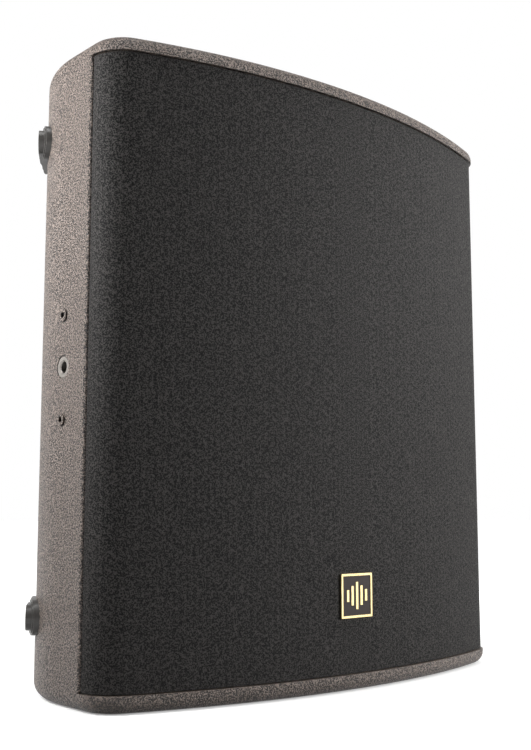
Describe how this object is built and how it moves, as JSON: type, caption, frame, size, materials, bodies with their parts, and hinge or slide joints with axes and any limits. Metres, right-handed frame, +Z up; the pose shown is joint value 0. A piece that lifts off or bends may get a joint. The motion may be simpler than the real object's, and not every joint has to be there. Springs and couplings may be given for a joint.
{
  "type": "pa speaker cabinet",
  "caption": "Upright coaxial PA speaker cabinet with a bowed cloth grille, wedge-angled rear sides, pole socket, rigging points and rubber skid feet.",
  "frame": {"origin": "middle of the base, on the surface that the cabinet stands on", "axes": "+Z up, -Y out of the grille, +Y to the connector plate, +X to the side that has the carry handle"},
  "size_m": [0.4346, 0.36, 0.49],
  "materials": {
    "textured_paint": "grey-brown water-based textured paint on birch plywood, fine pebble, satin",
    "raw_plywood": "bare birch plywood, sealed",
    "grille_steel": "black powder-coated perforated steel",
    "grille_mesh_cloth": "black three-dimensional mesh cloth, matt, fine staggered holes",
    "open_cell_foam": "dark open-cell foam",
    "lining_felt": "grey fibre damping felt",
    "badge_gold": "pale gold, brushed and lacquered",
    "badge_enamel": "dark brown-grey enamel",
    "foot_rubber": "black moulded rubber",
    "zinc_steel": "zinc-plated steel",
    "black_steel": "black-passivated steel",
    "black_plastic": "black glass-filled moulding, fine spark texture",
    "cast_aluminium": "die-cast aluminium, dark powder coat",
    "paper_cone": "black coated paper pulp",
    "coil_copper": "enamelled copper winding",
    "spider_cloth": "resin-dipped woven cotton",
    "magnet_steel": "zinc-plated turned steel",
    "ferrite": "dark sintered magnet",
    "titanium_dome": "thin formed titanium",
    "circuit_board": "green solder-masked board",
    "capacitor_film": "yellow taped film capacitor",
    "ceramic": "white cement power resistor",
    "cable_jacket": "black flexible sheath"
  },
  "bodies": {
    "cabinet": {"back_panel": "textured_paint", "badge_inlay": "badge_enamel", "badge_plate": "badge_gold", "baffle": "raw_plywood", "board_spacers": "black_plastic", "bottom_panel": "textured_paint", "capacitors": "capacitor_film", "carry_handle": "black_plastic", "connector_plate": "black_steel", "connector_screws": "black_steel", "crossover_board": "circuit_board", "damping_lining": "lining_felt", "driver_basket": "cast_aluminium", "driver_gasket": "open_cell_foam", "driver_screws": "black_steel", "driver_terminals": "zinc_steel", "foot_screws": "black_steel", "grille": "grille_steel", "grille_cloth": "grille_mesh_cloth", "grille_foam": "open_cell_foam", "grille_magnets": "ferrite", "grille_rail_bottom": "raw_plywood", "grille_rail_top": "raw_plywood", "handle_screws": "black_steel", "hf_horn": "black_plastic", "hf_magnet": "ferrite", "hf_phase_plug": "cast_aluminium", "hf_rear_cover": "black_plastic", "input_lead": "cable_jacket", "input_socket": "black_plastic", "link_socket": "black_plastic", "locating_bushes": "textured_paint", "lower_brace": "raw_plywood", "magnet_ring": "ferrite", "pole_cup": "black_plastic", "pole_cup_screws": "black_steel", "pole_yoke": "magnet_steel", "resistors": "ceramic", "rigging_insert_left": "zinc_steel", "rigging_insert_right": "zinc_steel", "side_strip_left": "textured_paint", "side_strip_right": "textured_paint", "top_panel": "textured_paint", "top_plate": "magnet_steel", "tweeter_choke": "coil_copper", "tweeter_lead": "cable_jacket", "upper_brace": "raw_plywood", "vent_board_left": "raw_plywood", "vent_board_right": "raw_plywood", "wedge_feet_left": "foot_rubber", "wedge_feet_right": "foot_rubber", "wedge_panel_left": "textured_paint", "wedge_panel_right": "textured_paint", "woofer_choke": "coil_copper", "woofer_lead": "cable_jacket"},
    "woofer_cone_assembly": {"woofer_cone": "paper_cone", "voice_coil": "coil_copper", "surround": "foot_rubber", "spider": "spider_cloth"},
    "tweeter_diaphragm": {"hf_diaphragm": "titanium_dome"}
  },
  "joints": [
    {"name": "woofer_excursion", "type": "slide", "parent": "cabinet", "child": "woofer_cone_assembly", "axis": [0, -1, 0], "range_m": [-0.007, 0.007], "stiffness_N_per_m": 4500, "deforming": ["surround", "spider"]},
    {"name": "tweeter_excursion", "type": "slide", "parent": "cabinet", "child": "tweeter_diaphragm", "axis": [0, -1, 0], "range_m": [-0.0004, 0.0004], "stiffness_N_per_m": 9000}
  ]
}
